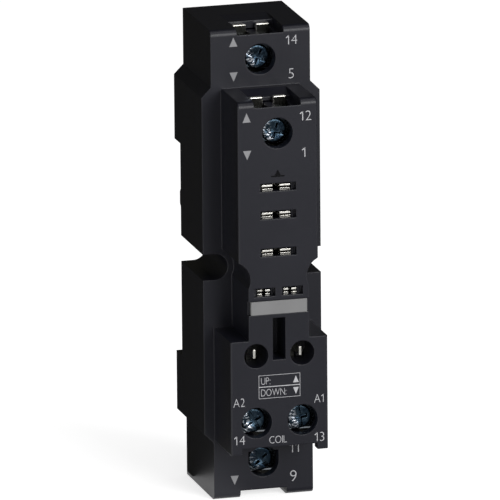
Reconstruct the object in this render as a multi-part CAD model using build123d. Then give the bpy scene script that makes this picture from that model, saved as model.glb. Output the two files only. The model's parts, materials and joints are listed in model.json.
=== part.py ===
from build123d import *
from dataclasses import dataclass
import os

# Relay socket for a 35 mm rail, in millimetres.
# X runs across it, Z up along it, and its front faces -Y.
# The origin is the middle of the rail, on the floor of the recess that the rail sits in.

# Rail seat
rail_width = 35.0
rail_play = 0.6
recess_depth = 3.5
floor_rib_height = 0.5
floor_rib_start = 7.2
floor_rib_length = 3.0
hook_width = 10.0
hook_reach = 1.5
hook_gap = 1.4
hook_bevel = 0.8

# Rear section, from the back plane to the first front face
top_end = 39.5
bottom_end = -38.9
rear_depth = 13.4
rear_width = 19.8
end_width = 16.65
top_step_height = 9.35
bottom_step_height = 9.65

# Tower, neck and coil block, which share the second front face
tower_depth = 10.0
tower_width = 13.3
tower_top = 29.8
neck_width = 10.1
coil_block_width = 16.25
coil_block_top = -9.9
coil_block_bottom = -28.8

# Slots for panel screws, open to the sides, and the round relief beside them for the screw heads
panel_slot_width = 4.3
panel_slot_x = 7.9
panel_slot_z = 0.25
relief_radius = 3.2

# Edges of the moulding
brow_radius = 1.0
edge_bevel = 0.2

# Screw terminals, measured inwards from the front face or the end face
well_radius = 2.55
head_radius = 2.1
head_sink = 1.9
head_height = 1.9
head_rounding = 0.45
drive_slot_width = 0.7
drive_slot_depth = 0.7
drive_cross_length = 2.6
drive_cross_depth = 1.1
thread_radius = 1.5
thread_clearance = 0.05
shank_length = 6.2
shank_end_gap = 0.3
clamp_hole_play = 0.3
clamp_thickness = 0.9
clamp_half_height = 2.65
clamp_bend = 0.5
clamp_travel = 1.8
wire_gap = 0.9
front_play = 0.15
side_play = 0.2
tooth_height = 0.25
tooth_width = 0.5
tooth_offset = 1.6
screw_inset = {"end": 5.2, "tower": 5.4, "coil": 5.15, "bottom": 5.9}
coil_screw_x = 3.85
end_chamber_width = 6.4
coil_chamber_width = 6.4
end_entry_width = 7.8
coil_entry_width = 12.7
notch_depth = 1.0
bottom_notch_depth = 1.27
end_funnel_depth = 10.3
tower_funnel_depth = 8.8
end_funnel_drop = 0.35
tower_funnel_drop = 1.0
front_wall_fall = 0.75
wire_rib_width = 1.4
wire_rib_gap = 0.35
bottom_well_rise = 1.8

# Contact strips and blade clips
strip_thickness = 0.9
strip_sink = 0.7
strip_tail = 3.4
strip_run_width = 5.0
strip_bend = 1.0
strip_clearance = 0.15
pocket_roof = 1.6
clip_sheet = 0.3
clip_length = 7.8
clip_sink = 1.2
clip_drop = 0.3
clip_half_height = 0.95
clip_width = 4.7
clip_slit = 1.2
clip_pinch = 0.22
clip_flare = 0.31
clip_pinch_depth = 0.9
clip_bend = 0.4
clip_head_room = 0.25
blade_slot_z = {"14": 10.85, "12": 15.45, "11": 4.65}
blade_slot_width = 6.1
blade_slot_height = 1.35
coil_slot_z = -1.95
coil_slot_x = 2.3
coil_slot_width = 3.55
coil_slot_height = 1.4
coil_clip_x = 2.2
coil_clip_width = 2.1
coil_clip_slit = 0.55
coil_tongue_inner = 1.9
coil_tongue_outer = 4.1
coil_tongue_top_inner = 1.0

# Round holes of the plug-in module, with the tab of each coil strip inside
module_hole_x = 3.85
module_hole_z = -12.45
module_hole_radius = 2.03
module_tab_height = 1.45
module_tab_thickness = 0.4
module_tab_sink = 1.2

# Slot of the hold-down clip, and the marking label
clip_slot_width = 2.15
clip_slot_top = -6.3
clip_slot_bottom = -13.3
clip_slot_depth = 5.0
label_z = -4.5
label_width = 9.35
label_height = 2.2
label_thickness = 0.8
label_proud = 0.15
label_play = 0.05

# Back cover
wall = 1.5
cover_thickness = 1.6
cover_clearance = 0.1
cover_core_wall = 1.6
peg_radius = 1.0
peg_length = 4.0
peg_x = 6.0
peg_z = 14.0
peg_clearance = 0.05
peg_end_gap = 0.3

# Rail latch and its spring
latch_base_width = 8.8
latch_face_width = 7.2
latch_floor = 0.7
latch_sink = 0.2
latch_clearance = 0.12
latch_reach = 1.6
latch_bevel = 1.1
latch_nose_width = 7.0
latch_tail_gap = 0.4
pry_slot_width = 4.0
pry_slot_height = 1.2
pry_slot_depth = 2.5
spring_wire = 0.35
spring_radius = 1.0
spring_length = 7.0
spring_turns = 7
spring_gap = 0.05
window_play = 0.4
stop_height = 1.2
stop_clearance = 0.1
stop_from_end = 6.7

# Planes and places that follow
recess_half = (rail_width + rail_play) / 2
rear_face = -rear_depth
tower_face = rear_face - tower_depth
inner_back = -cover_thickness
clamp_depth = head_sink + head_height
plate_depth = clamp_depth + clamp_thickness + wire_gap
plate_back_depth = plate_depth + strip_thickness
chamber_depth = clamp_depth - clamp_travel - front_play
clip_seat = tower_face + clip_sink + clip_length
cut_over = 2.0
near = 0.01


@dataclass
class Terminal:
    """A screw terminal: its screw axis, its front face and the end face where wires enter."""

    name: str
    x: float
    z: float
    face: float
    end: float
    notch: float
    chamber_width: float
    entry_width: float
    funnel_depth: float
    funnel_drop: float
    screw_angle: float

    @property
    def out(self):
        """1 where wires enter from above, -1 where they enter from below."""
        return 1 if self.end > self.z else -1

    def depth(self, inwards):
        """Y of a plane that lies so far behind the front face."""
        return self.face + inwards

    def plate_end(self):
        """Z of the strip's edge that shows in the wire entry."""
        return self.end - self.out * (max(self.notch - notch_depth, 0) + strip_sink)

    def inner_limit(self):
        """Z of the chamber's inner end."""
        return self.z - self.out * (strip_tail + side_play)


terminals = {
    "14": Terminal("14", 0, top_end - screw_inset["end"], rear_face, top_end, notch_depth,
                   end_chamber_width, end_entry_width, end_funnel_depth, end_funnel_drop, 25),
    "12": Terminal("12", 0, tower_top - screw_inset["tower"], tower_face, tower_top, notch_depth,
                   end_chamber_width, end_entry_width, tower_funnel_depth, tower_funnel_drop, 15),
    "11": Terminal("11", 0, bottom_end + screw_inset["bottom"], rear_face, bottom_end, bottom_notch_depth,
                   end_chamber_width, end_entry_width, end_funnel_depth, end_funnel_drop, 50),
    "a1": Terminal("a1", coil_screw_x, coil_block_bottom + screw_inset["coil"], tower_face,
                   coil_block_bottom, notch_depth, coil_chamber_width, coil_entry_width,
                   tower_funnel_depth, tower_funnel_drop, 80),
    "a2": Terminal("a2", -coil_screw_x, coil_block_bottom + screw_inset["coil"], tower_face,
                   coil_block_bottom, notch_depth, coil_chamber_width, coil_entry_width,
                   tower_funnel_depth, tower_funnel_drop, 60),
}


def prism(outline, y_back, y_front):
    """Extrudes an outline drawn in X and Z from one depth to another."""
    return extrude(Plane.XZ.offset(-y_back) * outline, y_back - y_front)


def across(profile, half_width, x=0):
    """Extrudes a profile drawn in Y and Z to both sides of a place on X."""
    return extrude(Plane.YZ.offset(x) * profile, half_width, both=True)


def block(x, y, z):
    """A box from three pairs of limits."""
    size = [abs(high - low) for low, high in (x, y, z)]
    middle = [(low + high) / 2 for low, high in (x, y, z)]
    return Pos(*middle) * Box(*size)


def rod(x, z, radius, y_back, y_front):
    """A round bar along Y."""
    return prism(Pos(x, z) * Circle(radius), y_back, y_front)


def edges_at(solid, axis, place):
    """The edges of a solid that lie in one plane."""
    return solid.edges().filter_by_position(axis, place - near, place + near)


def strip_profile(points, thickness, bend):
    """The bent section of a sheet that follows a line of points in Y and Z."""
    return trace(FilletPolyline(*points, radius=bend), thickness)


def rear_outline():
    """The front view of the rear section, with the slots for panel screws."""
    end_half = end_width / 2
    rear_half = rear_width / 2
    flare = rear_half - end_half
    top_step = top_end - top_step_height
    bottom_step = bottom_end + bottom_step_height
    right = [
        (end_half, top_end), (end_half, top_step), (rear_half, top_step - flare),
        (rear_half, bottom_step + flare), (end_half, bottom_step), (end_half, bottom_end),
    ]
    left = [(-x, z) for x, z in reversed(right)]
    outline = make_face(Polyline(*right, *left, close=True))
    for side in (-1, 1):
        mouth = rear_half + cut_over - panel_slot_x
        outline -= Pos(side * panel_slot_x, panel_slot_z) * Circle(panel_slot_width / 2)
        outline -= Pos(side * (panel_slot_x + mouth / 2), panel_slot_z) * Rectangle(mouth, panel_slot_width)
    return outline


def recess(y_front):
    """The space of the rail, from a depth out past the back plane."""
    depths = (y_front, recess_depth + cut_over)
    return block((-rear_width, rear_width), depths, (-recess_half, recess_half))


def floor_rib():
    """The low rib across the floor of the rail's recess."""
    rise = floor_rib_height
    start = floor_rib_start
    stop = floor_rib_start + floor_rib_length
    return make_face(Polyline((-rise, start), (0, start), (rise, start + rise), (rise, stop - rise),
                              (0, stop), (-rise, stop), close=True))


def rear_section():
    """The wide rear section as a solid block, with the recess for the rail."""
    body = prism(rear_outline(), recess_depth, rear_face)
    front_edges = edges_at(body, Axis.Y, rear_face).filter_by(Axis.X).sort_by(Axis.Z)
    body = fillet([front_edges[0], front_edges[-1]], brow_radius)
    body -= recess(0)
    for side in (-1, 1):
        body += across(floor_rib(), wall / 2, side * (rear_width - wall) / 2)
    return body


def front_section():
    """The tower, the neck and the coil block."""
    tower_half = tower_width / 2
    coil_half = coil_block_width / 2
    tower = block((-tower_half, tower_half), (rear_face, tower_face), (coil_block_top, tower_top))
    coil = block((-coil_half, coil_half), (rear_face, tower_face), (coil_block_bottom, coil_block_top))
    tower = fillet(edges_at(tower, Axis.Y, tower_face).sort_by(Axis.Z)[-1], brow_radius)
    tower = chamfer(edges_at(tower, Axis.Y, tower_face).filter_by(Axis.Z), edge_bevel)
    coil = chamfer(edges_at(coil, Axis.Y, tower_face).filter_by(Axis.Z), edge_bevel)
    for side in (-1, 1):
        relief_x = side * panel_slot_x
        beside = (side * neck_width / 2, side * (tower_half + cut_over))
        tower -= rod(relief_x, panel_slot_z, relief_radius, rear_face, tower_face - cut_over)
        tower -= block(beside, (rear_face, tower_face - cut_over), (coil_block_top, panel_slot_z))
    return tower + coil


def wire_entry(terminal):
    """The funnel in the end face, with the lowered front wall that falls towards the chamber."""
    out = terminal.out
    front = terminal.face - cut_over
    wall_back = terminal.depth(chamber_depth)
    slope_start = terminal.depth(plate_back_depth + strip_clearance)
    slope_end = terminal.depth(terminal.funnel_depth)
    above = terminal.end + out * cut_over
    notch = terminal.end - out * terminal.notch
    low = notch - out * front_wall_fall
    drop = terminal.end - out * (terminal.notch - notch_depth + terminal.funnel_drop)
    profile = make_face(Polyline((front, above), (front, notch), (terminal.face, notch), (wall_back, low),
                                 (slope_start, low), (slope_start, drop), (slope_end, terminal.end),
                                 (slope_end, above), close=True))
    return across(profile, terminal.entry_width / 2)


def terminal_space(terminal):
    """Everything that a terminal takes out of the housing."""
    out = terminal.out
    half = terminal.chamber_width / 2
    sides = (terminal.x - half, terminal.x + half)
    wires = (terminal.depth(chamber_depth), terminal.depth(plate_back_depth + strip_clearance))
    behind = (terminal.depth(plate_depth), inner_back)
    space = block(sides, wires, (terminal.inner_limit(), terminal.end + out * cut_over))
    space += block(sides, behind, (terminal.inner_limit(), terminal.end - out * pocket_roof))
    rib_top = terminal.end - out * (terminal.notch + front_wall_fall)
    rib_ends = (terminal.z + out * (clamp_half_height + wire_rib_gap), rib_top)
    rib_sides = (terminal.x - wire_rib_width / 2, terminal.x + wire_rib_width / 2)
    space -= block(rib_sides, wires, rib_ends)
    space += rod(terminal.x, terminal.z, well_radius, terminal.depth(clamp_depth), terminal.face - cut_over)
    return space + wire_entry(terminal)


def blade_clip(x, z, width, slit):
    """A folded spring clip: a back web and two leaves, each split into two fingers."""
    tip = tower_face + clip_sink
    web = clip_seat - clip_sheet / 2
    pinch = tip + clip_pinch_depth
    shoulder = web - clip_bend - clip_half_height
    upper = [(tip, clip_flare), (pinch, clip_pinch), (shoulder, clip_half_height), (web, clip_half_height)]
    lower = [(y, -up) for y, up in reversed(upper)]
    profile = strip_profile(upper + lower, clip_sheet, clip_bend)
    clip = across(Pos(0, z) * profile, width / 2, x)
    fingers = (tip - cut_over, shoulder)
    height = clip_half_height + cut_over
    return clip - block((x - slit / 2, x + slit / 2), fingers, (z - height, z + height))


def clip_space(x, z, width):
    """The chamber behind a blade slot, open to the back."""
    half = width / 2 + strip_clearance
    height = clip_half_height + clip_sheet / 2 + clip_head_room
    depths = (tower_face + clip_sink - clip_head_room / 2, inner_back)
    return block((x - half, x + half), depths, (z - height, z + height))


def plate_section(terminal, points):
    """The bent section of a contact strip that starts at the edge in the wire entry."""
    middle = terminal.depth(plate_depth) + strip_thickness / 2
    seat = clip_seat + strip_thickness / 2
    line = [(middle, terminal.plate_end())]
    line += [(middle if place == "plate" else seat, z) for place, z in points]
    return strip_profile(line, strip_thickness, strip_bend)


def terminal_plate_cuts(terminal):
    """The threaded hole of a terminal plate, and the notch round the wire rib."""
    out = terminal.out
    depths = (terminal.depth(plate_depth) - cut_over / 2, terminal.depth(plate_back_depth) + cut_over / 2)
    notch_half = wire_rib_width / 2 + strip_clearance
    notch_end = terminal.z + out * (clamp_half_height + wire_rib_gap - strip_clearance)
    cuts = rod(terminal.x, terminal.z, thread_radius + thread_clearance, depths[1], depths[0])
    return cuts + block((terminal.x - notch_half, terminal.x + notch_half), depths,
                        (notch_end, terminal.end + out * cut_over))


def blank(terminal, run_sides, run_to, seat_sides=None, seat_from=None):
    """The front view of a strip: the wide terminal plate, the run and the clip's seat."""
    half = terminal.chamber_width / 2 - strip_clearance
    plate_inner = terminal.z - terminal.out * strip_tail
    shapes = [(terminal.x - half, terminal.x + half, terminal.plate_end(), plate_inner),
              (*run_sides, plate_inner, run_to)]
    if seat_sides:
        shapes.append((*seat_sides, seat_from, run_to))
    face = Sketch()
    for x_low, x_high, z_a, z_b in shapes:
        middle = ((x_low + x_high) / 2, (z_a + z_b) / 2)
        face += Pos(*middle) * Rectangle(abs(x_high - x_low), abs(z_a - z_b))
    return face


def run_height(name):
    """Z of the middle of a clip, and how far from it the strip's run is."""
    middle = blade_slot_z.get(name, coil_slot_z) - clip_drop
    return middle, clip_half_height + clip_sheet / 2 + strip_thickness


def contact_strips():
    """The five stamped and bent strips from the terminals to the clips."""
    strips = {}
    half = strip_run_width / 2
    for name in ("14", "12", "11"):
        terminal = terminals[name]
        middle, reach = run_height(name)
        far = middle - terminal.out * reach
        if name == "12":
            bend = terminal.z - terminal.out * (strip_tail + strip_thickness / 2)
        else:
            bend = middle + terminal.out * reach
        section = plate_section(terminal, [("plate", bend), ("seat", bend), ("seat", far)])
        solid = across(section, terminal.chamber_width)
        solid &= prism(blank(terminal, (-half, half), far), inner_back, tower_face)
        strips[name] = solid - terminal_plate_cuts(terminal)
    for name in ("a1", "a2"):
        terminal = terminals[name]
        side = 1 if terminal.x > 0 else -1
        middle, reach = run_height(name)
        bend = middle - reach
        far = middle + reach
        section = plate_section(terminal, [("plate", bend), ("seat", bend), ("seat", far)])
        run_sides = (side * coil_tongue_inner, side * coil_tongue_outer)
        seat_sides = (side * coil_tongue_top_inner, side * coil_tongue_outer)
        outline = blank(terminal, run_sides, far, seat_sides, bend + strip_bend)
        solid = across(section, coil_block_width) & prism(outline, inner_back, tower_face)
        tab_x = side * module_hole_x
        tab_half = module_tab_thickness / 2
        tab = block((tab_x - tab_half, tab_x + tab_half),
                    (tower_face + module_tab_sink, terminal.depth(plate_back_depth)),
                    (module_hole_z - module_tab_height / 2, module_hole_z + module_tab_height / 2))
        strips[name] = solid + tab - terminal_plate_cuts(terminal)
    return strips


def strip_pockets():
    """The pockets that the strips are pushed into from the back."""
    pockets = []
    half = strip_run_width / 2 + strip_clearance
    for name in ("14", "12", "11"):
        terminal = terminals[name]
        middle, reach = run_height(name)
        out = terminal.out
        end = middle - out * (reach + strip_clearance)
        front = terminal.depth(plate_depth) - strip_clearance
        pockets.append(block((-half, half), (front, inner_back), (terminal.inner_limit(), end)))
        forward = middle + out * (reach + strip_thickness / 2 + strip_clearance)
        pockets.append(block((-half, half), (clip_seat - strip_clearance, inner_back), (forward, end)))
    return pockets


def coil_pockets():
    """The pockets of the two coil strips, open to the back."""
    pockets = []
    middle, reach = run_height("a1")
    turned = middle - reach + strip_bend
    high = middle + reach + strip_clearance
    for name in ("a1", "a2"):
        terminal = terminals[name]
        side = 1 if terminal.x > 0 else -1
        inner = side * (coil_tongue_inner - strip_clearance)
        outer = side * (coil_tongue_outer + strip_clearance)
        top_inner = side * (coil_tongue_top_inner - strip_clearance)
        front = terminal.depth(plate_depth) - strip_clearance
        pockets.append(block((inner, outer), (front, inner_back), (terminal.inner_limit(), turned)))
        pockets.append(block((top_inner, outer), (clip_seat - strip_clearance, inner_back),
                             (turned - strip_clearance, high)))
    return pockets


def latch_channel(clearance):
    """The dovetail section of the rail latch, wider by a clearance all round."""
    base = latch_base_width / 2 + clearance
    face = latch_face_width / 2 + clearance
    floor = latch_floor - clearance
    back = recess_depth - latch_sink
    return make_face(Polyline((-base, floor), (base, floor), (face, back), (-face, back), close=True))


def latch_space():
    """The channel that the latch slides in, out past the bottom end and the back plane."""
    low = bottom_end - cut_over
    section = latch_channel(latch_clearance)
    length = -recess_half - low
    channel = extrude(Pos(0, 0, low) * section, length)
    mouth = latch_face_width / 2 + latch_clearance
    depths = (recess_depth - latch_sink, recess_depth + cut_over)
    return channel + block((-mouth, mouth), depths, (low, -recess_half))


def spring_window():
    """Z of the stop and of the latch's window, from the bottom up."""
    stop_top = bottom_end + stop_from_end + stop_height
    return {"low": stop_top - stop_height - stop_clearance, "stop": stop_top - stop_height,
            "seat": stop_top, "high": stop_top + spring_length}


def rail_latch():
    """The sliding hook under the rail."""
    low = bottom_end + latch_tail_gap
    high = -recess_half - stop_clearance
    back = recess_depth - latch_sink
    body = extrude(Pos(0, 0, low) * latch_channel(0), high - low)
    tip = -recess_half + latch_reach
    nose = make_face(Polyline((hook_gap, high), (hook_gap, tip), (back - latch_bevel, tip),
                              (back, tip - latch_bevel), (back, high), close=True))
    body += across(nose, latch_nose_width / 2)
    window = spring_window()
    window_half = spring_radius + spring_wire / 2 + window_play
    body -= block((-window_half, window_half), (0, back + cut_over), (window["low"], window["high"]))
    pry_middle = (latch_floor + back) / 2
    pry_half = pry_slot_width / 2
    pry = (pry_middle - pry_slot_height / 2, pry_middle + pry_slot_height / 2)
    return body - block((-pry_half, pry_half), pry, (low - cut_over, low + pry_slot_depth))


def latch_spring():
    """The compression spring between the stop of the cover and the latch's window."""
    window = spring_window()
    start = window["seat"] + spring_wire / 2 + spring_gap
    height = spring_length - spring_wire - 2 * spring_gap
    middle = (latch_floor + recess_depth - latch_sink) / 2
    path = Pos(0, middle, start) * Helix(height / spring_turns, height, spring_radius)
    section = Plane(origin=path @ 0, z_dir=path % 0) * Circle(spring_wire / 2)
    return sweep(section, path)


def back_cover():
    """The plate that closes the pockets, with the fixed rail hook and the latch's guide."""
    inside = offset(rear_outline(), amount=-(wall + cover_clearance), kind=Kind.INTERSECTION)
    cover = prism(inside, recess_depth, inner_back) - recess(0)
    cover += across(floor_rib(), rear_width) & prism(inside, recess_depth, inner_back)
    core_low = recess_half + cover_core_wall
    core_high = top_end - wall - cover_clearance - cover_core_wall
    core_half = end_width / 2 - wall - cover_clearance - cover_core_wall
    core_depths = (inner_back - cut_over, recess_depth - cover_core_wall)
    cover -= block((-core_half, core_half), core_depths, (core_low, core_high))
    tip = recess_half - hook_reach
    nose = recess_depth - hook_bevel - hook_reach / 2
    hook = make_face(Polyline((hook_gap, recess_half), (hook_gap, tip), (nose, tip),
                              (recess_depth, tip + hook_bevel), (recess_depth, recess_half), close=True))
    cover += across(hook, hook_width / 2)
    cover -= latch_space()
    for terminal in terminals.values():
        shank_end = terminal.depth(clamp_depth + shank_length + shank_end_gap)
        cover -= rod(terminal.x, terminal.z, thread_radius + shank_end_gap, shank_end, terminal.face)
    window = spring_window()
    stop_half = spring_radius + spring_wire / 2 + window_play - stop_clearance
    stop_depths = (0, recess_depth - 2 * latch_sink)
    cover += block((-stop_half, stop_half), stop_depths, (window["stop"], window["seat"]))
    for x in (-peg_x, peg_x):
        for z in (-peg_z, peg_z):
            cover += rod(x, z, peg_radius, inner_back + cover_thickness / 2, inner_back - peg_length)
    return cover


def cover_seat():
    """What the back cover takes out of the housing."""
    inside = offset(rear_outline(), amount=-wall, kind=Kind.INTERSECTION)
    seat = prism(inside, recess_depth + cut_over, inner_back) + latch_space()
    for x in (-peg_x, peg_x):
        for z in (-peg_z, peg_z):
            seat += rod(x, z, peg_radius + peg_clearance, inner_back, inner_back - peg_length - peg_end_gap)
    return seat


def housing():
    """The one-piece moulding with everything that is let into it."""
    body = rear_section() + front_section()
    body -= cover_seat()
    for terminal in terminals.values():
        body -= terminal_space(terminal)
    bottom = terminals["11"]
    body -= block((-well_radius, well_radius), (bottom.depth(chamber_depth), bottom.face - cut_over),
                  (bottom.z, bottom.z + bottom_well_rise))
    for pocket in strip_pockets() + coil_pockets():
        body -= pocket
    slot_depths = (tower_face - cut_over, tower_face + clip_sink)
    for name, z in blade_slot_z.items():
        sides = (-blade_slot_width / 2, blade_slot_width / 2)
        body -= block(sides, slot_depths, (z - blade_slot_height / 2, z + blade_slot_height / 2))
        body -= clip_space(0, z - clip_drop, clip_width)
    for side in (-1, 1):
        x = side * coil_slot_x
        sides = (x - coil_slot_width / 2, x + coil_slot_width / 2)
        heights = (coil_slot_z - coil_slot_height / 2, coil_slot_z + coil_slot_height / 2)
        body -= block(sides, slot_depths, heights)
        body -= clip_space(side * coil_clip_x, coil_slot_z - clip_drop, coil_clip_width)
        hole_x = side * module_hole_x
        hole_floor = terminals["a1"].depth(plate_depth) - strip_clearance
        body -= rod(hole_x, module_hole_z, module_hole_radius, hole_floor, tower_face - cut_over)
    body -= block((-clip_slot_width / 2, clip_slot_width / 2),
                  (tower_face - cut_over, tower_face + clip_slot_depth), (clip_slot_bottom, clip_slot_top))
    label_half = label_height / 2 + label_play
    label_floor = tower_face + label_thickness - label_proud
    return body - block((-neck_width, neck_width), (tower_face - cut_over, label_floor),
                        (label_z - label_half, label_z + label_half))


def terminal_screw(terminal):
    """A terminal screw with a slot and a cross in its rounded head."""
    top = terminal.depth(head_sink)
    under = terminal.depth(clamp_depth)
    head = rod(terminal.x, terminal.z, head_radius, under, top)
    head = fillet(edges_at(head, Axis.Y, top), head_rounding)
    screw = head + rod(terminal.x, terminal.z, thread_radius, under + shank_length, under)
    slot = Box(2 * head_radius + cut_over, 2 * drive_slot_depth, drive_slot_width)
    cross = Box(drive_cross_length, 2 * drive_cross_depth, drive_slot_width)
    drive = slot + cross + Rot(0, 90, 0) * cross
    return screw - Pos(terminal.x, top, terminal.z) * Rot(0, terminal.screw_angle, 0) * drive


def clamp_plate(terminal):
    """The captive plate that the screw presses on the wires."""
    half = terminal.chamber_width / 2 - side_play
    depths = (terminal.depth(clamp_depth), terminal.depth(clamp_depth + clamp_thickness))
    heights = (terminal.z - clamp_half_height, terminal.z + clamp_half_height)
    plate = block((terminal.x - half, terminal.x + half), depths, heights)
    plate = fillet(plate.edges().filter_by(Axis.X).group_by(Axis.Y)[0], clamp_bend)
    hole_radius = thread_radius + clamp_hole_play
    hole = rod(terminal.x, terminal.z, hole_radius, depths[1] + cut_over, depths[0] - cut_over)
    for side in (-1, 1):
        tooth_z = terminal.z + side * tooth_offset
        plate += block((terminal.x - half, terminal.x + half), (depths[1], depths[1] + tooth_height),
                       (tooth_z - tooth_width / 2, tooth_z + tooth_width / 2))
    return plate - hole


def marking_label():
    """The strip across the neck."""
    front = tower_face - label_proud
    half = label_width / 2
    heights = (label_z - label_height / 2, label_z + label_height / 2)
    return block((-half, half), (front, front + label_thickness), heights)


os.makedirs("parts", exist_ok=True)
pieces = {
    "housing": housing(),
    "back_cover": back_cover(),
    "rail_latch": rail_latch(),
    "latch_spring": latch_spring(),
    "marking_label": marking_label(),
}
for name, strip in contact_strips().items():
    pieces[f"contact_strip_{name}"] = strip
for name, terminal in terminals.items():
    pieces[f"terminal_screw_{name}"] = terminal_screw(terminal)
    pieces[f"clamp_plate_{name}"] = clamp_plate(terminal)
for name, z in blade_slot_z.items():
    pieces[f"blade_clip_{name}"] = blade_clip(0, z - clip_drop, clip_width, clip_slit)
for name, side in (("a1", 1), ("a2", -1)):
    place = (side * coil_clip_x, coil_slot_z - clip_drop)
    pieces[f"blade_clip_{name}"] = blade_clip(*place, coil_clip_width, coil_clip_slit)
for name, piece in pieces.items():
    export_step(piece, f"parts/{name}.step")
    print(name, len(piece.solids()), "solid", round(piece.volume, 2), "mm3")
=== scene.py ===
# %% [markdown]
# # A relay socket, dressed for its portrait
# The solids of the socket come in as a fixed frame, with every piece at its real size and place.
# This lesson gives them their finishes, adds the small things that are printed or cut into the real
# one, and sets up the studio. Lengths are in metres, so a millimetre has a name of its own.

# %% Load the frame
import json
from math import cos, pi, radians, sin

import bmesh
import bpy
from mathutils import Matrix, Vector


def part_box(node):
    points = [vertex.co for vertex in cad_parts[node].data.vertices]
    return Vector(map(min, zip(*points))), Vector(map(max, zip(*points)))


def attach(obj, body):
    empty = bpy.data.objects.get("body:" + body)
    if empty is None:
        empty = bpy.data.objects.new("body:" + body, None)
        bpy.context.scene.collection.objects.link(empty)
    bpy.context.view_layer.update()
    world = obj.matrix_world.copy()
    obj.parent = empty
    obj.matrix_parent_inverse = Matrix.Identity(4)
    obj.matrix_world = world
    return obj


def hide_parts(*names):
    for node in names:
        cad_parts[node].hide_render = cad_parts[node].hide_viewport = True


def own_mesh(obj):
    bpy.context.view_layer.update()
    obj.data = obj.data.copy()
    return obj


mm = 0.001
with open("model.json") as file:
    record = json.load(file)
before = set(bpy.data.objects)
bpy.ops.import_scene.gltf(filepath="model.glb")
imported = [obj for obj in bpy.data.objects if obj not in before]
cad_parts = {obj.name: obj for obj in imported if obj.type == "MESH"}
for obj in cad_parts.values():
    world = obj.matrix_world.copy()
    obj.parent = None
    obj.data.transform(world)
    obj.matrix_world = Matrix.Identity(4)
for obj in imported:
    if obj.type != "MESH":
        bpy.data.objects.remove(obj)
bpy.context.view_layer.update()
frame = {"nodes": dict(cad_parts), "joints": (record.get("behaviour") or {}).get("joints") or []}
nodes = frame["nodes"]
print("CAD nodes:", len(nodes))

# %% [markdown]
# ## Planes to work from
# The socket has two front faces, one behind the other: the two ends are on the rear one, and the tower
# and the coil block share the one in front. The front one is read from the housing's own box, so a new
# pack moves the print along with the plastic, and the rear one lies a step behind it.

# %% Front planes and the floor
step_depth = 10 * mm
housing_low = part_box("housing")[0]
front_plane = housing_low.y
rear_plane = front_plane + step_depth
floor_height = housing_low.z
print("front plane", round(front_plane / mm, 2), "rear plane", round(rear_plane / mm, 2))

# %% [markdown]
# ## Sums with sockets
# A procedural finish is a chain of small sums. Wired by hand it is hard to read, so a small class wraps
# an output socket and turns Python's own operators into Math nodes. The reflected forms let a plain
# number stand first, as in `1 - mask`. One method makes every other kind of node: it sets the node's
# choices first and then fills its sockets with numbers or links.

# %% Sockets that do sums
class Signal:
    """An output socket that adds, subtracts, multiplies and takes powers."""

    def __init__(self, paint, socket):
        self.paint = paint
        self.socket = socket

    def _sum(self, operation, first, second):
        return self.paint.node("ShaderNodeMath", {"operation": operation}, {0: first, 1: second})

    def __add__(self, other):
        return self._sum("ADD", self, other)

    def __radd__(self, other):
        return self._sum("ADD", other, self)

    def __sub__(self, other):
        return self._sum("SUBTRACT", self, other)

    def __rsub__(self, other):
        return self._sum("SUBTRACT", other, self)

    def __mul__(self, other):
        return self._sum("MULTIPLY", self, other)

    def __rmul__(self, other):
        return self._sum("MULTIPLY", other, self)

    def __pow__(self, other):
        return self._sum("POWER", self, other)

    def at_least(self, other):
        return self._sum("MAXIMUM", self, other)


# %% A tree that is filled one node at a time
bevel_samples = 6
edge_begins = 0.02
edge_is_full = 0.25


class Paint:
    """A node tree, and the few node patterns that the finishes share."""

    def __init__(self, tree):
        self.tree = tree
        tree.nodes.clear()

    def node(self, kind, settings=None, inputs=None, output=0):
        made = self.tree.nodes.new(kind)
        for name, value in (settings or {}).items():
            setattr(made, name, value)
        for name, value in (inputs or {}).items():
            if isinstance(value, Signal):
                self.tree.links.new(value.socket, made.inputs[name])
            else:
                made.inputs[name].default_value = value
        return Signal(self, made.outputs[output]) if made.outputs else None

    def place(self):
        return self.node("ShaderNodeTexCoord", output="Object")

    def noise(self, size, detail=3.0, roughness=0.5, place=None):
        """Noise from 0 to 1 whose features are about as wide as size."""
        inputs = {"Scale": 1 / size, "Detail": detail, "Roughness": roughness}
        return self.node("ShaderNodeTexNoise", {}, {"Vector": place or self.place(), **inputs})

    def stretched(self, scale):
        """Object coordinates squeezed by a scale for each axis, for a grain with a direction."""
        return self.node("ShaderNodeMapping", {}, {"Vector": self.place(), "Scale": scale})

    def between(self, value, low, high):
        """Where a value lies between two limits, as a mask from 0 to 1."""
        inputs = {"Value": value, "From Min": low, "From Max": high}
        return self.node("ShaderNodeMapRange", {"interpolation_type": "SMOOTHSTEP"}, inputs)

    def mix(self, share, first, second):
        """Two colours, with a share of the second."""
        inputs = {0: share, 6: first, 7: second}
        return self.node("ShaderNodeMix", {"data_type": "RGBA"}, inputs, output=2)

    def rounded(self, radius):
        """A normal that turns softly over each edge, as if it had that radius."""
        return self.node("ShaderNodeBevel", {"samples": bevel_samples}, {"Radius": radius})

    def edge_mask(self, rounded):
        """1 on the edges and 0 on the flats, from how far the soft normal leaves the true one."""
        true_normal = self.node("ShaderNodeNewGeometry", output="True Normal")
        inputs = {0: rounded, 1: true_normal}
        alike = self.node("ShaderNodeVectorMath", {"operation": "DOT_PRODUCT"}, inputs, output="Value")
        return self.between(1 - alike, edge_begins, edge_is_full)

    def bump(self, height, distance, normal=None):
        """A normal that follows a height from 0 to 1, whose full rise is the distance."""
        inputs = {"Height": height, "Distance": distance}
        if normal is not None:
            inputs["Normal"] = normal
        return self.node("ShaderNodeBump", {}, inputs)


# %% [markdown]
# Every finish ends in the same shader. A colour in this lesson is a triple of linear light values, and
# the helper adds the fourth number that a colour socket wants.

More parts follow.
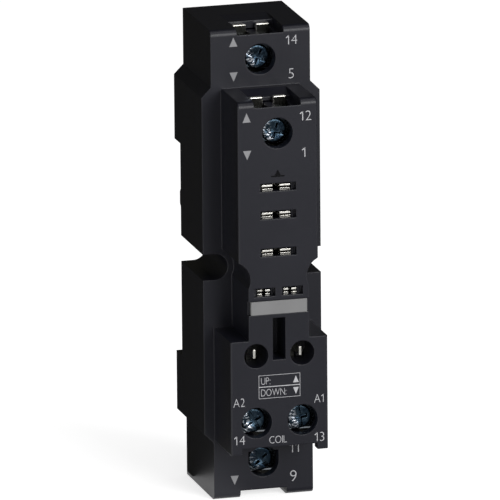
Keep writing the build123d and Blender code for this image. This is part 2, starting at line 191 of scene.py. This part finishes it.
# %% From numbers to a finish
def rgb(red, green, blue):
    return (red, green, blue, 1.0)


def new_finish(name):
    material = bpy.data.materials.new(name)
    material.use_nodes = True
    return material, Paint(material.node_tree)


def finish_with(paint, **sockets):
    """The one shader that every finish ends in: sockets are its own, spaces written as underscores."""
    inputs = {name.replace("_", " "): value for name, value in sockets.items()}
    surface = paint.node("ShaderNodeBsdfPrincipled", {}, inputs)
    paint.node("ShaderNodeOutputMaterial", {}, {"Surface": surface})


def scaled(tone, share, more=0.0):
    """A tone made lighter or darker as a whole, as a colour."""
    return rgb(*(share * part + more for part in tone))


print("node patterns:", [name for name in vars(Paint) if not name.startswith("_")])


# %% [markdown]
# ## Black moulded plastic
# The housing is injection moulded in a spark-eroded tool, which leaves a fine even grain that turns
# the black satin. A flat black would look like a hole, so three things vary: a fine grain for the
# bump, slow drifts of tone from the flow of the melt, and edges a little paler and smoother, partly
# wear from hands and the tool and partly a painted highlight along every edge. A Bevel node rounds
# the edges in the shading alone, so the solids keep their true size.

# %% Plastic finish
melt_drift = 14 * mm
scuff_size = 2.5 * mm


def moulded_plastic(name, tone, grain_size, grain_depth, roughness, edge_radius, specular):
    material, paint = new_finish(name)
    rounded = paint.rounded(edge_radius)
    edges = paint.edge_mask(rounded)
    grain = paint.noise(grain_size, detail=4.0, roughness=0.6)
    drift = paint.noise(melt_drift, detail=2.0)
    scuffs = paint.between(paint.noise(scuff_size, detail=6.0, roughness=0.7), 0.56, 0.74)
    colour = paint.mix(drift, scaled(tone, 0.86), scaled(tone, 1.14))
    # Paler edges: partly wear from hands and the tool, partly a painted highlight along every edge.
    colour = paint.mix(edges * 0.8, colour, scaled(tone, 1.5, more=0.004))
    sheen = roughness + (grain - 0.5) * 0.16 + (drift - 0.5) * 0.08 - edges * 0.10 + scuffs * 0.05
    normal = paint.bump(grain, grain_depth, rounded)
    finish_with(paint, Base_Color=colour, Roughness=sheen, Normal=normal, Specular_IOR_Level=specular)
    return material


black_plastic = moulded_plastic("black_plastic", tone=(0.0060, 0.0063, 0.0115), grain_size=0.22 * mm,
                                grain_depth=0.010 * mm, roughness=0.40, edge_radius=0.22 * mm, specular=0.36)
latch_plastic = moulded_plastic("latch_plastic", tone=(0.0110, 0.0110, 0.0120), grain_size=0.40 * mm,
                                grain_depth=0.010 * mm, roughness=0.36, edge_radius=0.15 * mm, specular=0.45)
print("plastics:", black_plastic.name, latch_plastic.name)

# %% [markdown]
# ## The grey label
# The strip across the neck is a separate moulding in grey, matt like paper so that a pen can write on
# it. Its tooth is finer than the housing's grain, and it is rougher.

# %% Label finish
tooth_size = 0.09 * mm
tooth_depth = 0.006 * mm


def writing_label():
    material, paint = new_finish("label_plastic")
    rounded = paint.rounded(0.12 * mm)
    edges = paint.edge_mask(rounded)
    tooth = paint.noise(tooth_size, detail=2.0)
    cloud = paint.noise(3.5 * mm, detail=3.0)
    colour = paint.mix(cloud, rgb(0.195, 0.195, 0.197), rgb(0.230, 0.230, 0.232))
    # A painted highlight: the label's edges are painted paler, as if they caught the light.
    colour = paint.mix(edges * 0.7, colour, rgb(0.32, 0.32, 0.32))
    sheen = 0.62 + (tooth - 0.5) * 0.1
    normal = paint.bump(tooth, tooth_depth, rounded)
    finish_with(paint, Base_Color=colour, Roughness=sheen, Normal=normal, Specular_IOR_Level=0.3)
    return material


label_plastic = writing_label()
print("label:", label_plastic.name)

# %% [markdown]
# ## Metals
# The screws are steel with zinc and a blue passivation, which is a skin so thin that its colour drifts
# from near black to steel blue. Streaks of near white on the left of each head are painted glints: a
# highlight painted into the colour. The bottom screw is painted darker as a whole, as painted shade.
# The turning marks run round the screw's axis, so the pattern reads the distance from that axis, and
# each screw gets its own copy of the finish with its own centre.

# %% Blue zinc on a turned screw
dark_blue = (0.013, 0.025, 0.042)
pale_blue = (0.046, 0.074, 0.100)
worn_edge = (0.24, 0.30, 0.36)
# The near white of the painted glints on the left of each head.
glint_white = (0.66, 0.70, 0.76)
# Painted shade: the share of its pale tone that a screw keeps at a lit share of 0.
shade_floor_share = 0.4
turning_pitch = 0.16 * mm
pit_depth = 0.045 * mm


def turned_zinc(name, centre, lit_share=1.0):
    """Passivated zinc around a screw's axis. A lit share below 1 is painted shade: the screw
    is darker and has fewer painted glints.
    """
    material, paint = new_finish(name)
    moved = {"Vector": paint.place(), "Location": [-part for part in centre]}
    local = paint.node("ShaderNodeMapping", {}, moved)
    split = {"Vector": local}
    across = paint.node("ShaderNodeSeparateXYZ", {}, split, output="X")
    along = paint.node("ShaderNodeSeparateXYZ", {}, split, output="Z")
    radius = (across * across + along * along) ** 0.5
    rings = paint.node("ShaderNodeMath", {"operation": "SINE"}, {0: radius * (2 * pi / turning_pitch)})
    cloud = paint.noise(0.9 * mm, detail=4.0, roughness=0.6, place=local)
    pits = paint.noise(0.38 * mm, detail=3.0, place=local)
    rounded = paint.rounded(0.08 * mm)
    edges = paint.edge_mask(rounded)
    # Painted shade: the pale tone is darkened for a screw whose lit share is below 1.
    brightest = scaled(pale_blue, shade_floor_share + (1 - shade_floor_share) * lit_share)
    colour = paint.mix(paint.between(cloud, 0.32, 0.62), rgb(*dark_blue), brightest)
    colour = paint.mix(edges * 0.4, colour, rgb(*worn_edge))
    streaks = paint.noise(0.42 * mm, detail=2.0, place=paint.stretched((0.6, 1, 1.7)))
    # Painted glints: near-white streaks on the left side of each head, thinned by the lit share.
    left = paint.between(across * -0.95 - along * 0.2, 0.25 * mm, 0.95 * mm)
    glints = paint.between(streaks, 0.50, 0.57) * left * lit_share
    colour = paint.mix(glints, colour, rgb(*glint_white))
    sheen = 0.16 + (cloud - 0.5) * 0.10 + (pits - 0.5) * 0.06
    normal = paint.bump(rings * 0.06 + pits, pit_depth, rounded)
    finish_with(paint, Base_Color=colour, Roughness=sheen, Metallic=1.0, Normal=normal)
    return material


# %% [markdown]
# Sheet metal is rolled, which leaves a grain along the strip, and then sheared, which leaves brighter
# edges. Where a strip or plate sits deep in a dark entry, well or hole, its broad faces are painted
# dark: painted shade, while the sheared edges keep their own colour.

# %% Stamped and drawn metals
rolling_grain = 0.10 * mm


def stamped_metal(name, pale, dark, roughness, grain_scale, edge_radius=0.07 * mm, painted_shade=None, behind=-1,
                  grain_depth=0.006 * mm):
    """Sheet metal with a rolling grain, squeezed along the direction of rolling. Painted shade can
    darken the broad faces that look along Y and lie behind a plane, for the shade deep in entries and holes."""
    material, paint = new_finish(name)
    rounded = paint.rounded(edge_radius)
    edges = paint.edge_mask(rounded)
    grain = paint.noise(rolling_grain, detail=4.0, place=paint.stretched(grain_scale))
    cloud = paint.noise(1.6 * mm, detail=4.0, roughness=0.6)
    colour = paint.mix(paint.between(cloud, 0.3, 0.7), rgb(*pale), rgb(*dark))
    colour = paint.mix(edges * 0.6, colour, rgb(*(min(0.95, 1.15 * part) for part in pale)))
    # Painted shade: broad faces that look along Y and lie behind a plane take a dark colour.
    if painted_shade is not None:
        true_normal = paint.node("ShaderNodeNewGeometry", output="True Normal")
        facing = paint.node("ShaderNodeSeparateXYZ", {}, {"Vector": true_normal}, output="Y")
        depth = paint.node("ShaderNodeSeparateXYZ", {}, {"Vector": paint.place()}, output="Y")
        flat = paint.between(facing * facing, 0.80, 0.95)
        shade_mask = flat * paint.between(depth, behind, behind + 0.1 * mm)
        colour = paint.mix(shade_mask, colour, rgb(*painted_shade))
    sheen = roughness + (grain - 0.5) * 0.22 + (cloud - 0.5) * 0.14
    normal = paint.bump(grain, grain_depth, rounded)
    finish_with(paint, Base_Color=colour, Roughness=sheen, Metallic=1.0, Normal=normal)
    return material


tin = ((0.86, 0.85, 0.80), (0.70, 0.68, 0.62))
zinc = ((0.72, 0.76, 0.80), (0.48, 0.54, 0.60))
steel = ((0.58, 0.57, 0.55), (0.34, 0.33, 0.32))
along_x = (0.08, 1, 1)
along_z = (1, 1, 0.08)
drawn = (1, 1, 0.2)
# The coil strips get painted shade on their faces behind the tips of their tabs, inside the module holes.
tab_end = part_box("contact_strip_a1")[0].y + 0.3 * mm
# The dark colours given below are painted shade: near black for the strips in the wire entries and holes,
# dark for the clamp plates in their wells.
tinned_brass = stamped_metal("tinned_brass", *tin, 0.24, along_z, grain_depth=0.0015 * mm)
shaded_tin = stamped_metal("shaded_tin", *tin, 0.30, along_z, painted_shade=(0.045, 0.045, 0.041))
zinc_plate = stamped_metal("zinc_plate", *zinc, 0.28, along_x, painted_shade=(0.10, 0.12, 0.14))
tabbed_tin = stamped_metal("tabbed_tin", *tin, 0.30, along_z, painted_shade=(0.03, 0.03, 0.028), behind=tab_end)
spring_steel = stamped_metal("spring_steel", *steel, 0.30, drawn, edge_radius=0.03 * mm)
print("metals:", [metal.name for metal in (tinned_brass, shaded_tin, zinc_plate, tabbed_tin, spring_steel)])

# %% [markdown]
# ## Give every solid its finish
# The names of the nodes say what they are, so a short table from the start of a name to a finish
# is enough. The screws and the spring are made anew in a later step.

# %% Finishes onto the solids
finishes = {
    "housing": black_plastic,
    "back_cover": black_plastic,
    "rail_latch": latch_plastic,
    "latch_spring": spring_steel,
    "marking_label": label_plastic,
    "contact_strip_1": shaded_tin,
    "contact_strip_a": tabbed_tin,
    "blade_clip": tinned_brass,
    "clamp_plate": zinc_plate,
}


def wear(piece, material):
    piece.data.materials.clear()
    piece.data.materials.append(material)


for name, node in nodes.items():
    for start, material in finishes.items():
        if name.startswith(start):
            wear(node, material)
print("finished:", sum(1 for node in nodes.values() if node.data.materials))

# %% [markdown]
# Sheared sheet metal has edges that catch the light, and on the real socket these thin bright lines
# are all that can be seen of the strips in the dark wire entries. A Bevel modifier breaks the edges of
# the strips with a small chamfer and rounds those of the clips, and leaves the solids as they are.

# %% Break the edges of the sheet metal
touching = 0.001 * mm
chamfers = {"contact_strip_1": (0.13, 1), "contact_strip_a": (0.06, 2), "blade_clip": (0.10, 3)}
for name, node in nodes.items():
    for start, (width, segments) in chamfers.items():
        if not name.startswith(start):
            continue
        weld = node.modifiers.new("weld", "WELD")
        weld.merge_threshold = touching
        broken = node.modifiers.new("broken_edges", "BEVEL")
        broken.width = width * mm
        broken.segments = segments
        broken.limit_method = "ANGLE"
        broken.angle_limit = radians(50)
        broken.use_clamp_overlap = start != "contact_strip_1"
print("edges broken:", sum(1 for node in nodes.values() if node.modifiers))

# %% [markdown]
# ## Screws with a thread
# A terminal screw has a slot and a cross in a rounded head, and a coarse metric thread under it. The
# solid has the head, but its shank is a plain bar. So the head is kept: a copy of the solid is cut off
# under the head and its edges are eased with a small bevel. The shank is made anew as a core with a
# ridge that a spin winds round it, a little further along with each step.

# %% The head, from a copy of the solid
thread_pitch = 0.5 * mm
core_radius = 1.22 * mm
crest_radius = 1.5 * mm
head_height = 1.9 * mm
drive_bevel = 0.05 * mm
sunk = 0.05 * mm


def eased_head(node):
    """The head of a screw, with its shank cut away and its drive's edges bevelled."""
    bm = bmesh.new()
    bm.from_mesh(node.data)
    bmesh.ops.remove_doubles(bm, verts=bm.verts, dist=touching)
    top = min(vert.co.y for vert in bm.verts)
    under = top + head_height - 0.02 * mm
    bmesh.ops.bisect_plane(bm, geom=bm.verts[:] + bm.edges[:] + bm.faces[:], dist=0.0001 * mm,
                           plane_co=(0, under, 0), plane_no=(0, 1, 0), clear_outer=True)
    rim = [edge for edge in bm.edges if edge.is_boundary]
    bmesh.ops.holes_fill(bm, edges=rim, sides=0)
    bmesh.ops.dissolve_limit(bm, angle_limit=radians(1), verts=bm.verts, edges=bm.edges)
    sharp = [edge for edge in bm.edges if edge.is_manifold and edge.calc_face_angle() > radians(40)]
    bmesh.ops.bevel(bm, geom=sharp, offset=drive_bevel, affect="EDGES", segments=2, profile=0.5,
                    material=-1, clamp_overlap=True)
    return bm, under


# %% The core and its ridge
def wind_thread(bm, x, z, start, length):
    """Adds a core and one helical ridge along +Y to a mesh."""
    core = bmesh.ops.create_cone(bm, cap_ends=True, segments=40, radius1=core_radius, radius2=core_radius,
                                 depth=length)["verts"]
    upright = Matrix.Rotation(radians(90), 4, "X")
    bmesh.ops.transform(bm, matrix=Matrix.Translation((x, start + length / 2, z)) @ upright, verts=core)
    foot = 0.42 * thread_pitch
    crest = 0.06 * thread_pitch
    root_radius = core_radius - sunk
    flank = [(root_radius, -foot), (crest_radius, -crest), (crest_radius, crest), (root_radius, foot)]
    section = [bm.verts.new((x + out, start + thread_pitch + along, z)) for out, along in flank]
    face = bm.faces.new(section)
    turns = int(length / thread_pitch) - 2
    steps_a_turn = 36
    bmesh.ops.spin(bm, geom=[face], cent=(x, 0, z), axis=(0, 1, 0), dvec=(0, thread_pitch / steps_a_turn, 0),
                   angle=2 * pi * turns, steps=turns * steps_a_turn, use_merge=False)


# %% Make the five screws
def in_scene(name, bm, material, smooth_below=radians(35)):
    """Turns a bmesh into a piece with its place in its mesh."""
    bmesh.ops.recalc_face_normals(bm, faces=bm.faces)
    mesh = bpy.data.meshes.new(name)
    bm.to_mesh(mesh)
    bm.free()
    mesh.shade_smooth()
    mesh.set_sharp_from_angle(angle=smooth_below)
    mesh.materials.append(material)
    piece = bpy.data.objects.new(name, mesh)
    bpy.context.scene.collection.objects.link(piece)
    return piece


terminals = [name.removeprefix("terminal_screw_") for name in nodes if name.startswith("terminal_screw_")]
for terminal in terminals:
    node = nodes[f"terminal_screw_{terminal}"]
    low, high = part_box(node.name)
    centre = (low + high) / 2
    bm, under = eased_head(node)
    start = under - 2 * sunk
    wind_thread(bm, centre.x, centre.z, start, high.y - start)
    # The bottom screw, 11, gets painted shade through a lit share of 0.35.
    skin = turned_zinc(f"blue_zinc_{terminal}", centre, lit_share=0.35 if terminal == "11" else 1.0)
    screw = in_scene(f"threaded_screw_{terminal}", bm, skin, radians(30))
    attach(screw, f"screw_{terminal}")
    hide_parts(node.name)
print("screws:", len(terminals), "faces each:", len(screw.data.polygons))

# %% [markdown]
# ## The spring under the latch
# A small compression spring pushes the latch up against the rail. Such a spring is coiled from drawn
# wire, so here one round section is spun about the spring's axis and climbs a little with each step. It
# stands on a stop that stays put while the latch travels, and rides on the socket's body at its full
# length; its length at rest and pressed is printed.

# %% Wind the spring
wire = 0.35 * mm
coils = 7
spring_play = 0.05 * mm
latch_travel = next(joint["range_m"][1] for joint in frame["joints"] if joint["name"] == "latch_slide")


def wound_spring(low, high):
    """A coil of round wire that fills a box."""
    middle = (low + high) / 2
    coil_radius = (high.x - low.x - wire) / 2
    bm = bmesh.new()
    section = bmesh.ops.create_circle(bm, cap_ends=True, segments=14, radius=wire / 2)["verts"]
    start = Matrix.Translation((middle.x + coil_radius, middle.y, low.z + wire / 2))
    bmesh.ops.transform(bm, matrix=start @ Matrix.Rotation(radians(90), 4, "X"), verts=section)
    steps = 28 * coils
    bmesh.ops.spin(bm, geom=bm.faces[:], cent=middle, axis=(0, 0, 1), angle=2 * pi * coils, steps=steps,
                   dvec=(0, 0, (high.z - low.z - wire) / steps), use_merge=False)
    bmesh.ops.holes_fill(bm, edges=[edge for edge in bm.edges if edge.is_boundary], sides=0)
    return in_scene("wound_spring", bm, spring_steel, radians(60))


spring_low, spring_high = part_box("latch_spring")
spring = wound_spring(spring_low, spring_high)
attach(spring, "socket")
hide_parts("latch_spring")
room = spring_high.z - spring_low.z + 2 * spring_play
(room - latch_travel) / room
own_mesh(spring)
print("spring in mm:", round(room / mm, 2), "at rest and", round((room - latch_travel) / mm, 2), "pressed")

# %% [markdown]
# ## Printed numbers and signs
# The terminal numbers and the little triangles are pad printed: a film of light grey ink on the
# plastic. Ink laid on as an image would blur close up, so each sign is a real film, far thinner than
# a hair. Numbers start as text, become a mesh, and are then scaled to the height of the real ones. The
# triangles are printed thinner than the numbers, so their ink is darker.

# %% Ink
def pad_ink(name, tone):
    material, paint = new_finish(name)
    grain = paint.noise(0.10 * mm, detail=3.0)
    thin = paint.between(paint.noise(0.35 * mm, detail=4.0), 0.58, 0.80)
    ink = (tone, tone, 1.04 * tone)
    colour = paint.mix(thin * 0.5, rgb(*ink), scaled(ink, 0.5))
    normal = paint.bump(grain, 0.004 * mm)
    sheen = 0.50 + (grain - 0.5) * 0.2
    finish_with(paint, Base_Color=colour, Roughness=sheen, Normal=normal, Specular_IOR_Level=0.35)
    return material


grey_ink = pad_ink("grey_ink", 0.50)
thin_ink = pad_ink("thin_ink", 0.26)
ink_thickness = 0.02 * mm
print("inks:", grey_ink.name, thin_ink.name)


# %% Figures as a film
stroke_change = -0.018
flag_reach = 0.24


def glyph(letter):
    """One letter as a mesh, as tall as the font makes it."""
    curve = bpy.data.curves.new("lettering", "FONT")
    curve.body = letter
    curve.extrude = 0.5
    curve.offset = stroke_change
    curve.resolution_u = 5
    holder = bpy.data.objects.new("lettering", curve)
    bpy.context.scene.collection.objects.link(holder)
    bpy.context.view_layer.update()
    mesh = bpy.data.meshes.new_from_object(holder.evaluated_get(bpy.context.evaluated_depsgraph_get()))
    bpy.data.objects.remove(holder)
    return mesh


def reach(mesh, axis):
    places = [vert.co[axis] for vert in mesh.vertices]
    return min(places), max(places)


cap_height = reach(glyph("H"), 1)[1]
print("a capital is", round(cap_height, 3), "of the font's size")


def add_text(bm, text, x, z, height, plane, squeeze=0.98, gap=0.26):
    """Adds text to a mesh, centred on X and Z, as a film on a front plane."""
    film = bmesh.new()
    run = 0.0
    for letter in text:
        mesh = glyph(letter)
        low, high = reach(mesh, 0)
        if letter == "1":
            low -= flag_reach * cap_height
            add_flag(film, run, high - low)
        mesh.transform(Matrix.Translation((run - low, 0, 0)))
        film.from_mesh(mesh)
        run += high - low + gap * cap_height
        bpy.data.meshes.remove(mesh)
    width = run - gap * cap_height
    scale = height / cap_height
    flat = Matrix.Diagonal((scale * squeeze, scale, ink_thickness, 1))
    centred = Matrix.Translation((-width / 2, -cap_height / 2, 0))
    stood = Matrix.Translation((x, plane - ink_thickness / 2, z)) @ Matrix.Rotation(radians(90), 4, "X")
    bmesh.ops.transform(film, matrix=stood @ flat @ centred, verts=film.verts)
    flat_film = bpy.data.meshes.new("film")
    film.to_mesh(flat_film)
    film.free()
    bm.from_mesh(flat_film)
    bpy.data.meshes.remove(flat_film)


def add_flag(film, left, width):
    """The slanted stroke at the top of a 1, which the font leaves out."""
    stroke = bmesh.ops.create_cube(film, size=1)["verts"]
    length = 0.38 * cap_height
    lean = Matrix.Rotation(radians(40), 4, "Z") @ Matrix.Diagonal((length, 0.10 * cap_height, 1, 1))
    place = Matrix.Translation((left + 0.46 * width, 0.85 * cap_height, 0))
    bmesh.ops.transform(film, matrix=place @ lean, verts=stroke)


def add_triangle(bm, x, z, width, height, plane, upwards, depth=ink_thickness):
    """Adds a triangle that points up or down."""
    made = bmesh.ops.create_cone(bm, cap_ends=True, segments=3, radius1=1, radius2=1, depth=1)["verts"]
    span = max(vert.co.x for vert in made) - min(vert.co.x for vert in made)
    rise = max(vert.co.y for vert in made) - min(vert.co.y for vert in made)
    middle = (max(vert.co.y for vert in made) + min(vert.co.y for vert in made)) / 2
    turn = 1 if upwards else -1
    centred = Matrix.Translation((0, -middle, 0))
    flat = Matrix.Diagonal((width / span, turn * height / rise, depth, 1)) @ centred
    stood = Matrix.Translation((x, plane - depth / 2, z)) @ Matrix.Rotation(radians(90), 4, "X")
    bmesh.ops.transform(bm, matrix=stood @ flat, verts=made)


# %% [markdown]
# The signs stand in four groups. An upright triangle marks the numbers of one way of counting the
# terminals, and a hanging one marks those of the other. Places are read as X, Z and height in
# millimetres, because that is how print is laid out on a drawing.

# %% Print the four groups
sign_width = 1.35 * mm
sign_height = 1.55 * mm


def printed(name, plane, texts, triangles):
    """A group of signs on one plane, each with its place in millimetres."""
    bm = bmesh.new()
    for text, x, z, height in texts:
        words = {"squeeze": 0.80, "gap": 0.16} if text[0].isalpha() else {}
        add_text(bm, text, x * mm, z * mm, height * mm, plane, **words)
    figures = len(bm.faces)
    for x, z, upwards in triangles:
        add_triangle(bm, x * mm, z * mm, sign_width, sign_height, plane, upwards)
    for face in bm.faces[figures:]:
        face.material_index = 1
    piece = in_scene(name, bm, grey_ink)
    piece.data.materials.append(thin_ink)
    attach(piece, "socket")
    return piece


printed("print_top", rear_plane, [("14", 5.25, 37.15, 1.55), ("5", 5.15, 31.55, 1.65)],
        [(-4.5, 37.45, True), (-4.5, 31.65, False)])
printed("print_tower", front_plane, [("12", 4.7, 26.95, 1.6), ("1", 4.35, 20.9, 1.6)],
        [(-5.15, 27.3, True), (-5.1, 21.05, False)])
printed("print_coil", front_plane,
        [("A2", -6.8, -20.05, 1.4), ("A1", 6.6, -20.3, 1.4), ("14", -6.75, -26.35, 1.5),
         ("13", 6.65, -26.75, 1.5), ("COIL", -0.3, -26.65, 1.2)], [])
printed("print_bottom", rear_plane, [("11", 5.2, -31.05, 1.7), ("9", 5.0, -35.85, 1.85)],
        [(-4.9, -30.3, True), (-4.9, -35.8, False)])

# %% [markdown]
# The legend is a box of two rows that says which triangle is which. Two grid cells are inset and their
# middles deleted, which leaves a frame with a line across it.

# %% The legend
def legend():
    """A framed box of two rows, each with a word and its triangle."""
    width, height, line = 6.95 * mm, 3.9 * mm, 0.095 * mm
    letters = 1.15 * mm
    bm = bmesh.new()
    bmesh.ops.create_grid(bm, x_segments=1, y_segments=2, size=0.5)
    bmesh.ops.scale(bm, vec=(width, height, 1), verts=bm.verts)
    rows = bm.faces[:]
    bmesh.ops.inset_individual(bm, faces=rows, thickness=line)
    bmesh.ops.delete(bm, geom=rows, context="FACES")
    lines = bmesh.ops.extrude_face_region(bm, geom=bm.faces[:])["geom"]
    raised = [item for item in lines if isinstance(item, bmesh.types.BMVert)]
    bmesh.ops.translate(bm, vec=(0, 0, ink_thickness), verts=raised)
    middle = -17.7 * mm
    place = Matrix.Translation((0, front_plane, middle)) @ Matrix.Rotation(radians(90), 4, "X")
    bmesh.ops.transform(bm, matrix=place, verts=bm.verts)
    row = height / 4
    for text, x, side in (("UP:", -2.3, 1), ("DOWN:", -0.98, -1)):
        add_text(bm, text, x * mm, middle + side * row, letters, front_plane, squeeze=0.72, gap=0.16)
        add_triangle(bm, 2.75 * mm, middle + side * row, 0.95 * mm, letters, front_plane, side > 0)
    return in_scene("print_legend", bm, grey_ink)


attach(legend(), "socket")

# %% [markdown]
# Above the first blade slot the mould has a small arrow on a bar, drawn here as a thin raised piece.
# Its black, darker than the housing's and nearly without grain, is painted shade.

# %% The moulded arrow
# Painted shade: a black darker than the housing's, for the arrow.
arrow_shade_plastic = moulded_plastic("arrow_shade_plastic", tone=(0.003, 0.003, 0.004), grain_size=0.5 * mm,
                                   grain_depth=0.002 * mm, roughness=0.30, edge_radius=0.04 * mm,
                                   specular=0.12)


def moulded_arrow():
    raised = 0.12 * mm
    bm = bmesh.new()
    add_triangle(bm, 0, 17.85 * mm, 1.0 * mm, 0.9 * mm, front_plane, True, raised)
    bar = bmesh.ops.create_cube(bm, size=1)["verts"]
    place = Matrix.Translation((0, front_plane - raised / 2, 17.3 * mm))
    bmesh.ops.transform(bm, matrix=place @ Matrix.Diagonal((2.2 * mm, raised, 0.22 * mm, 1)), verts=bar)
    return in_scene("moulded_arrow", bm, arrow_shade_plastic)


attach(moulded_arrow(), "socket")
print("arrow in:", arrow_shade_plastic.name)

# %% [markdown]
# ## Camera
# The portrait was taken from a little to the left and above, with a long lens: lines that are parallel
# on the socket stay almost parallel. So the camera stands well over two metres off, and its lens
# follows from the scale wanted in the middle of the picture.

# %% Stand the camera
view_azimuth = radians(-15.43)
view_elevation = radians(14.62)
view_roll = radians(0.472)
frame_pixels = 500
pixels_per_metre = 6172
distance = 2.4
sensor = 36.0
aim = Vector((-1.054, -10.0, 1.72)) * mm

back = Vector((sin(view_azimuth) * cos(view_elevation), -cos(view_azimuth) * cos(view_elevation),
               sin(view_elevation)))
right = Vector((cos(view_azimuth), sin(view_azimuth), 0))
up = back.cross(right)
rolled_right = right * cos(view_roll) - up * sin(view_roll)
rolled_up = up * cos(view_roll) + right * sin(view_roll)
turned = Matrix((rolled_right, rolled_up, back)).transposed()
camera_data = bpy.data.cameras.new("camera")
camera_data.sensor_width = sensor
camera_data.lens = sensor * distance * pixels_per_metre / frame_pixels
camera_data.clip_start = 0.01
camera_data.clip_end = 20.0
camera = bpy.data.objects.new("camera", camera_data)
camera.matrix_world = Matrix.Translation(aim + back * distance) @ turned.to_4x4()
bpy.context.scene.collection.objects.link(camera)
bpy.context.scene.camera = camera
print("lens in mm:", round(camera_data.lens, 1))

# %% [markdown]
# ## Studio
# A large soft lamp stands in front, to the right and a little above, and gives the rounded brows their
# highlight. A weaker one hangs high above, and a small one low at the left puts glints on the screws.
# The floor is pale, and what the camera sees of it is lifted towards white, with the shadow kept.

# %% Lamps
def soft_lamp(name, azimuth, elevation, away, width, height, power):
    """A rectangular lamp that faces the socket. Azimuth 0 is in front of it, and positive to the right."""
    towards = Vector((sin(radians(azimuth)) * cos(radians(elevation)),
                      -cos(radians(azimuth)) * cos(radians(elevation)), sin(radians(elevation))))
    data = bpy.data.lights.new(name, "AREA")
    data.shape = "RECTANGLE"
    data.size = width
    data.size_y = height
    data.energy = power
    lamp = bpy.data.objects.new(name, data)
    turn = towards.to_track_quat("Z", "Y").to_matrix().to_4x4()
    lamp.matrix_world = Matrix.Translation(towards * away) @ turn
    bpy.context.scene.collection.objects.link(lamp)
    return lamp


soft_lamp("key_lamp", 24, 20, 0.80, 0.45, 0.36, 4.3)
soft_lamp("top_lamp", 20, 70, 0.80, 0.40, 0.30, 0.7)
soft_lamp("glint_lamp", -40, 6, 0.80, 0.22, 0.22, 0.5)
print("lamps:", [lamp.name for lamp in bpy.data.lights])

# %% World
def shown_share(paint):
    """1 for what the camera sees, straight, mirrored or through glass, and 0 for light on other things."""
    rays = [paint.node("ShaderNodeLightPath", output=kind)
            for kind in ("Is Camera Ray", "Is Glossy Ray", "Is Transmission Ray")]
    return rays[0].at_least(rays[1]).at_least(rays[2])


def studio_world(light, seen):
    """Gives light of one level, and shows another to the camera and in reflections."""
    world = bpy.data.worlds.new("studio")
    world.use_nodes = True
    bpy.context.scene.world = world
    paint = Paint(world.node_tree)
    strength = light + shown_share(paint) * (seen - light)
    glow = paint.node("ShaderNodeBackground", {}, {"Color": rgb(1, 1, 1), "Strength": strength})
    paint.node("ShaderNodeOutputWorld", {}, {"Surface": glow})


studio_world(light=0.25, seen=1.0)
print("world:", bpy.context.scene.world.name)


# %% Floor
def pale_floor(half, paleness, lift_to_white):
    bm = bmesh.new()
    bmesh.ops.create_grid(bm, x_segments=1, y_segments=1, size=half)
    bmesh.ops.translate(bm, vec=(0, 0, floor_height), verts=bm.verts)
    material, paint = new_finish("pale_floor")
    paper = paint.node("ShaderNodeBsdfDiffuse", {}, {"Color": rgb(paleness, paleness, paleness)})
    strength = shown_share(paint) * lift_to_white
    lift = paint.node("ShaderNodeEmission", {}, {"Color": rgb(1, 1, 1), "Strength": strength})
    both = paint.node("ShaderNodeAddShader", {}, {0: paper, 1: lift})
    paint.node("ShaderNodeOutputMaterial", {}, {"Surface": both})
    floor = in_scene("floor", bm, material)


pale_floor(half=3.0, paleness=0.85, lift_to_white=0.70)
print("floor at", round(floor_height / mm, 1), "mm")

# %% [markdown]
# Black plastic shows its shape by what it mirrors, and a white room would turn it grey, most of all on
# the sides that are seen at a slant. So half a dome of black card stands behind the socket, with a
# black sheet on the floor under it. In front hangs a grey half dome, open in a low band, and a grey
# sheet lies on the part of the floor that the front faces mirror. Only reflections see the cards:
# they throw no shadow, and the light on the socket stays as it was.

# %% Cards that only reflections see
dome_radius = 0.95
above_floor = 0.5 * mm
white = (1, 1, 1)


def card(name, bm, strength, colour):
    material, paint = new_finish(name)
    glow = paint.node("ShaderNodeEmission", {}, {"Color": rgb(*colour), "Strength": strength})
    paint.node("ShaderNodeOutputMaterial", {}, {"Surface": glow})
    piece = in_scene(name, bm, material)
    piece.visible_camera = False
    piece.visible_diffuse = False
    piece.visible_shadow = False
    piece.visible_transmission = False


def cut_away(bm, towards):
    """Cuts off the half of a mesh that lies on one side of the socket's middle."""
    bmesh.ops.bisect_plane(bm, geom=bm.verts[:] + bm.edges[:] + bm.faces[:], dist=0.1 * mm,
                           plane_co=(0, 0, floor_height), plane_no=towards, clear_outer=True)


def floor_card(name, strength, cuts, colour=white):
    """A round sheet on the floor, cut along a line through the socket for each azimuth."""
    bm = bmesh.new()
    bmesh.ops.create_circle(bm, cap_ends=True, segments=64, radius=dome_radius)
    bmesh.ops.translate(bm, vec=(0, 0, floor_height + above_floor), verts=bm.verts)
    for azimuth in cuts:
        cut_away(bm, (sin(radians(azimuth)), -cos(radians(azimuth)), 0))
    card(name, bm, strength, colour)


# %% Hang the domes and lay the sheets
def dome_card(name, strength, foot, away, colour=white):
    """Half a dome on one side of the socket, that starts at an angle above the floor."""
    bm = bmesh.new()
    bmesh.ops.create_uvsphere(bm, u_segments=48, v_segments=36, radius=dome_radius)
    bmesh.ops.translate(bm, vec=(0, 0, floor_height), verts=bm.verts)
    cut_away(bm, away)
    limit = floor_height + dome_radius * sin(radians(foot))
    opening = [face for face in bm.faces if face.calc_center_median().z < limit]
    bmesh.ops.delete(bm, geom=opening, context="FACES")
    card(name, bm, strength, colour)


warm_black = (1.0, 0.97, 0.72)
dome_card("black_dome", 0.035, 0, (0, -1, 0), warm_black)
dome_card("grey_dome", 0.40, 20, (0, 1, 0))
floor_card("black_sheet", 0.035, [0], warm_black)
floor_card("grey_sheet", 0.36, [-100, 140])

# %% [markdown]
# ## Settings
# Colours are shown as they are, with no film curve.

# %% Finish
bpy.context.scene.view_settings.view_transform = "Standard"
